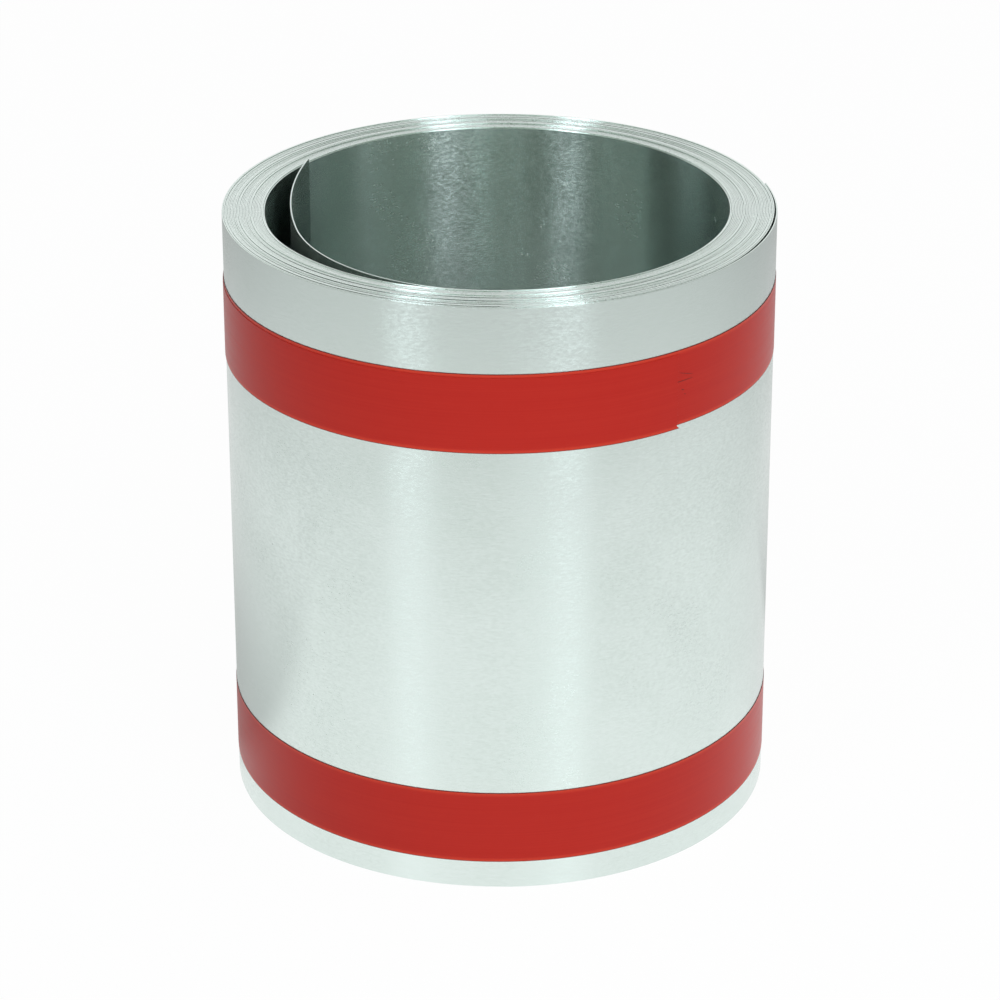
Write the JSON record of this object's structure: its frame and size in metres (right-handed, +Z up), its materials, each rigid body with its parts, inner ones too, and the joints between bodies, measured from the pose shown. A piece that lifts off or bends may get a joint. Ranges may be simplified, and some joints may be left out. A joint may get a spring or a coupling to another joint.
{
  "type": "valley flashing roll",
  "caption": "Roll of galvanised steel valley flashing, wound into an open coil that stands on its end, held shut by red tape bands, with a loose inner tail.",
  "frame": {"origin": "centre of the roll's lower end, on the surface that it stands on", "axes": "+Z up along the roll's axis; -Y is the side that the picture shows, with the cut end of the upper tape at its right; the strip's outer end is just behind +X"},
  "size_m": [0.1817, 0.1813, 0.2052],
  "materials": {
    "galvanised_steel": "mill galvanised, satin, with a fine rolling grain along the strip",
    "red_tape": "smooth red film, slightly glossy"
  },
  "bodies": {
    "root": {"roll": "galvanised_steel", "upper_tape_band": "red_tape", "lower_tape_band": "red_tape"}
  },
  "joints": []
}
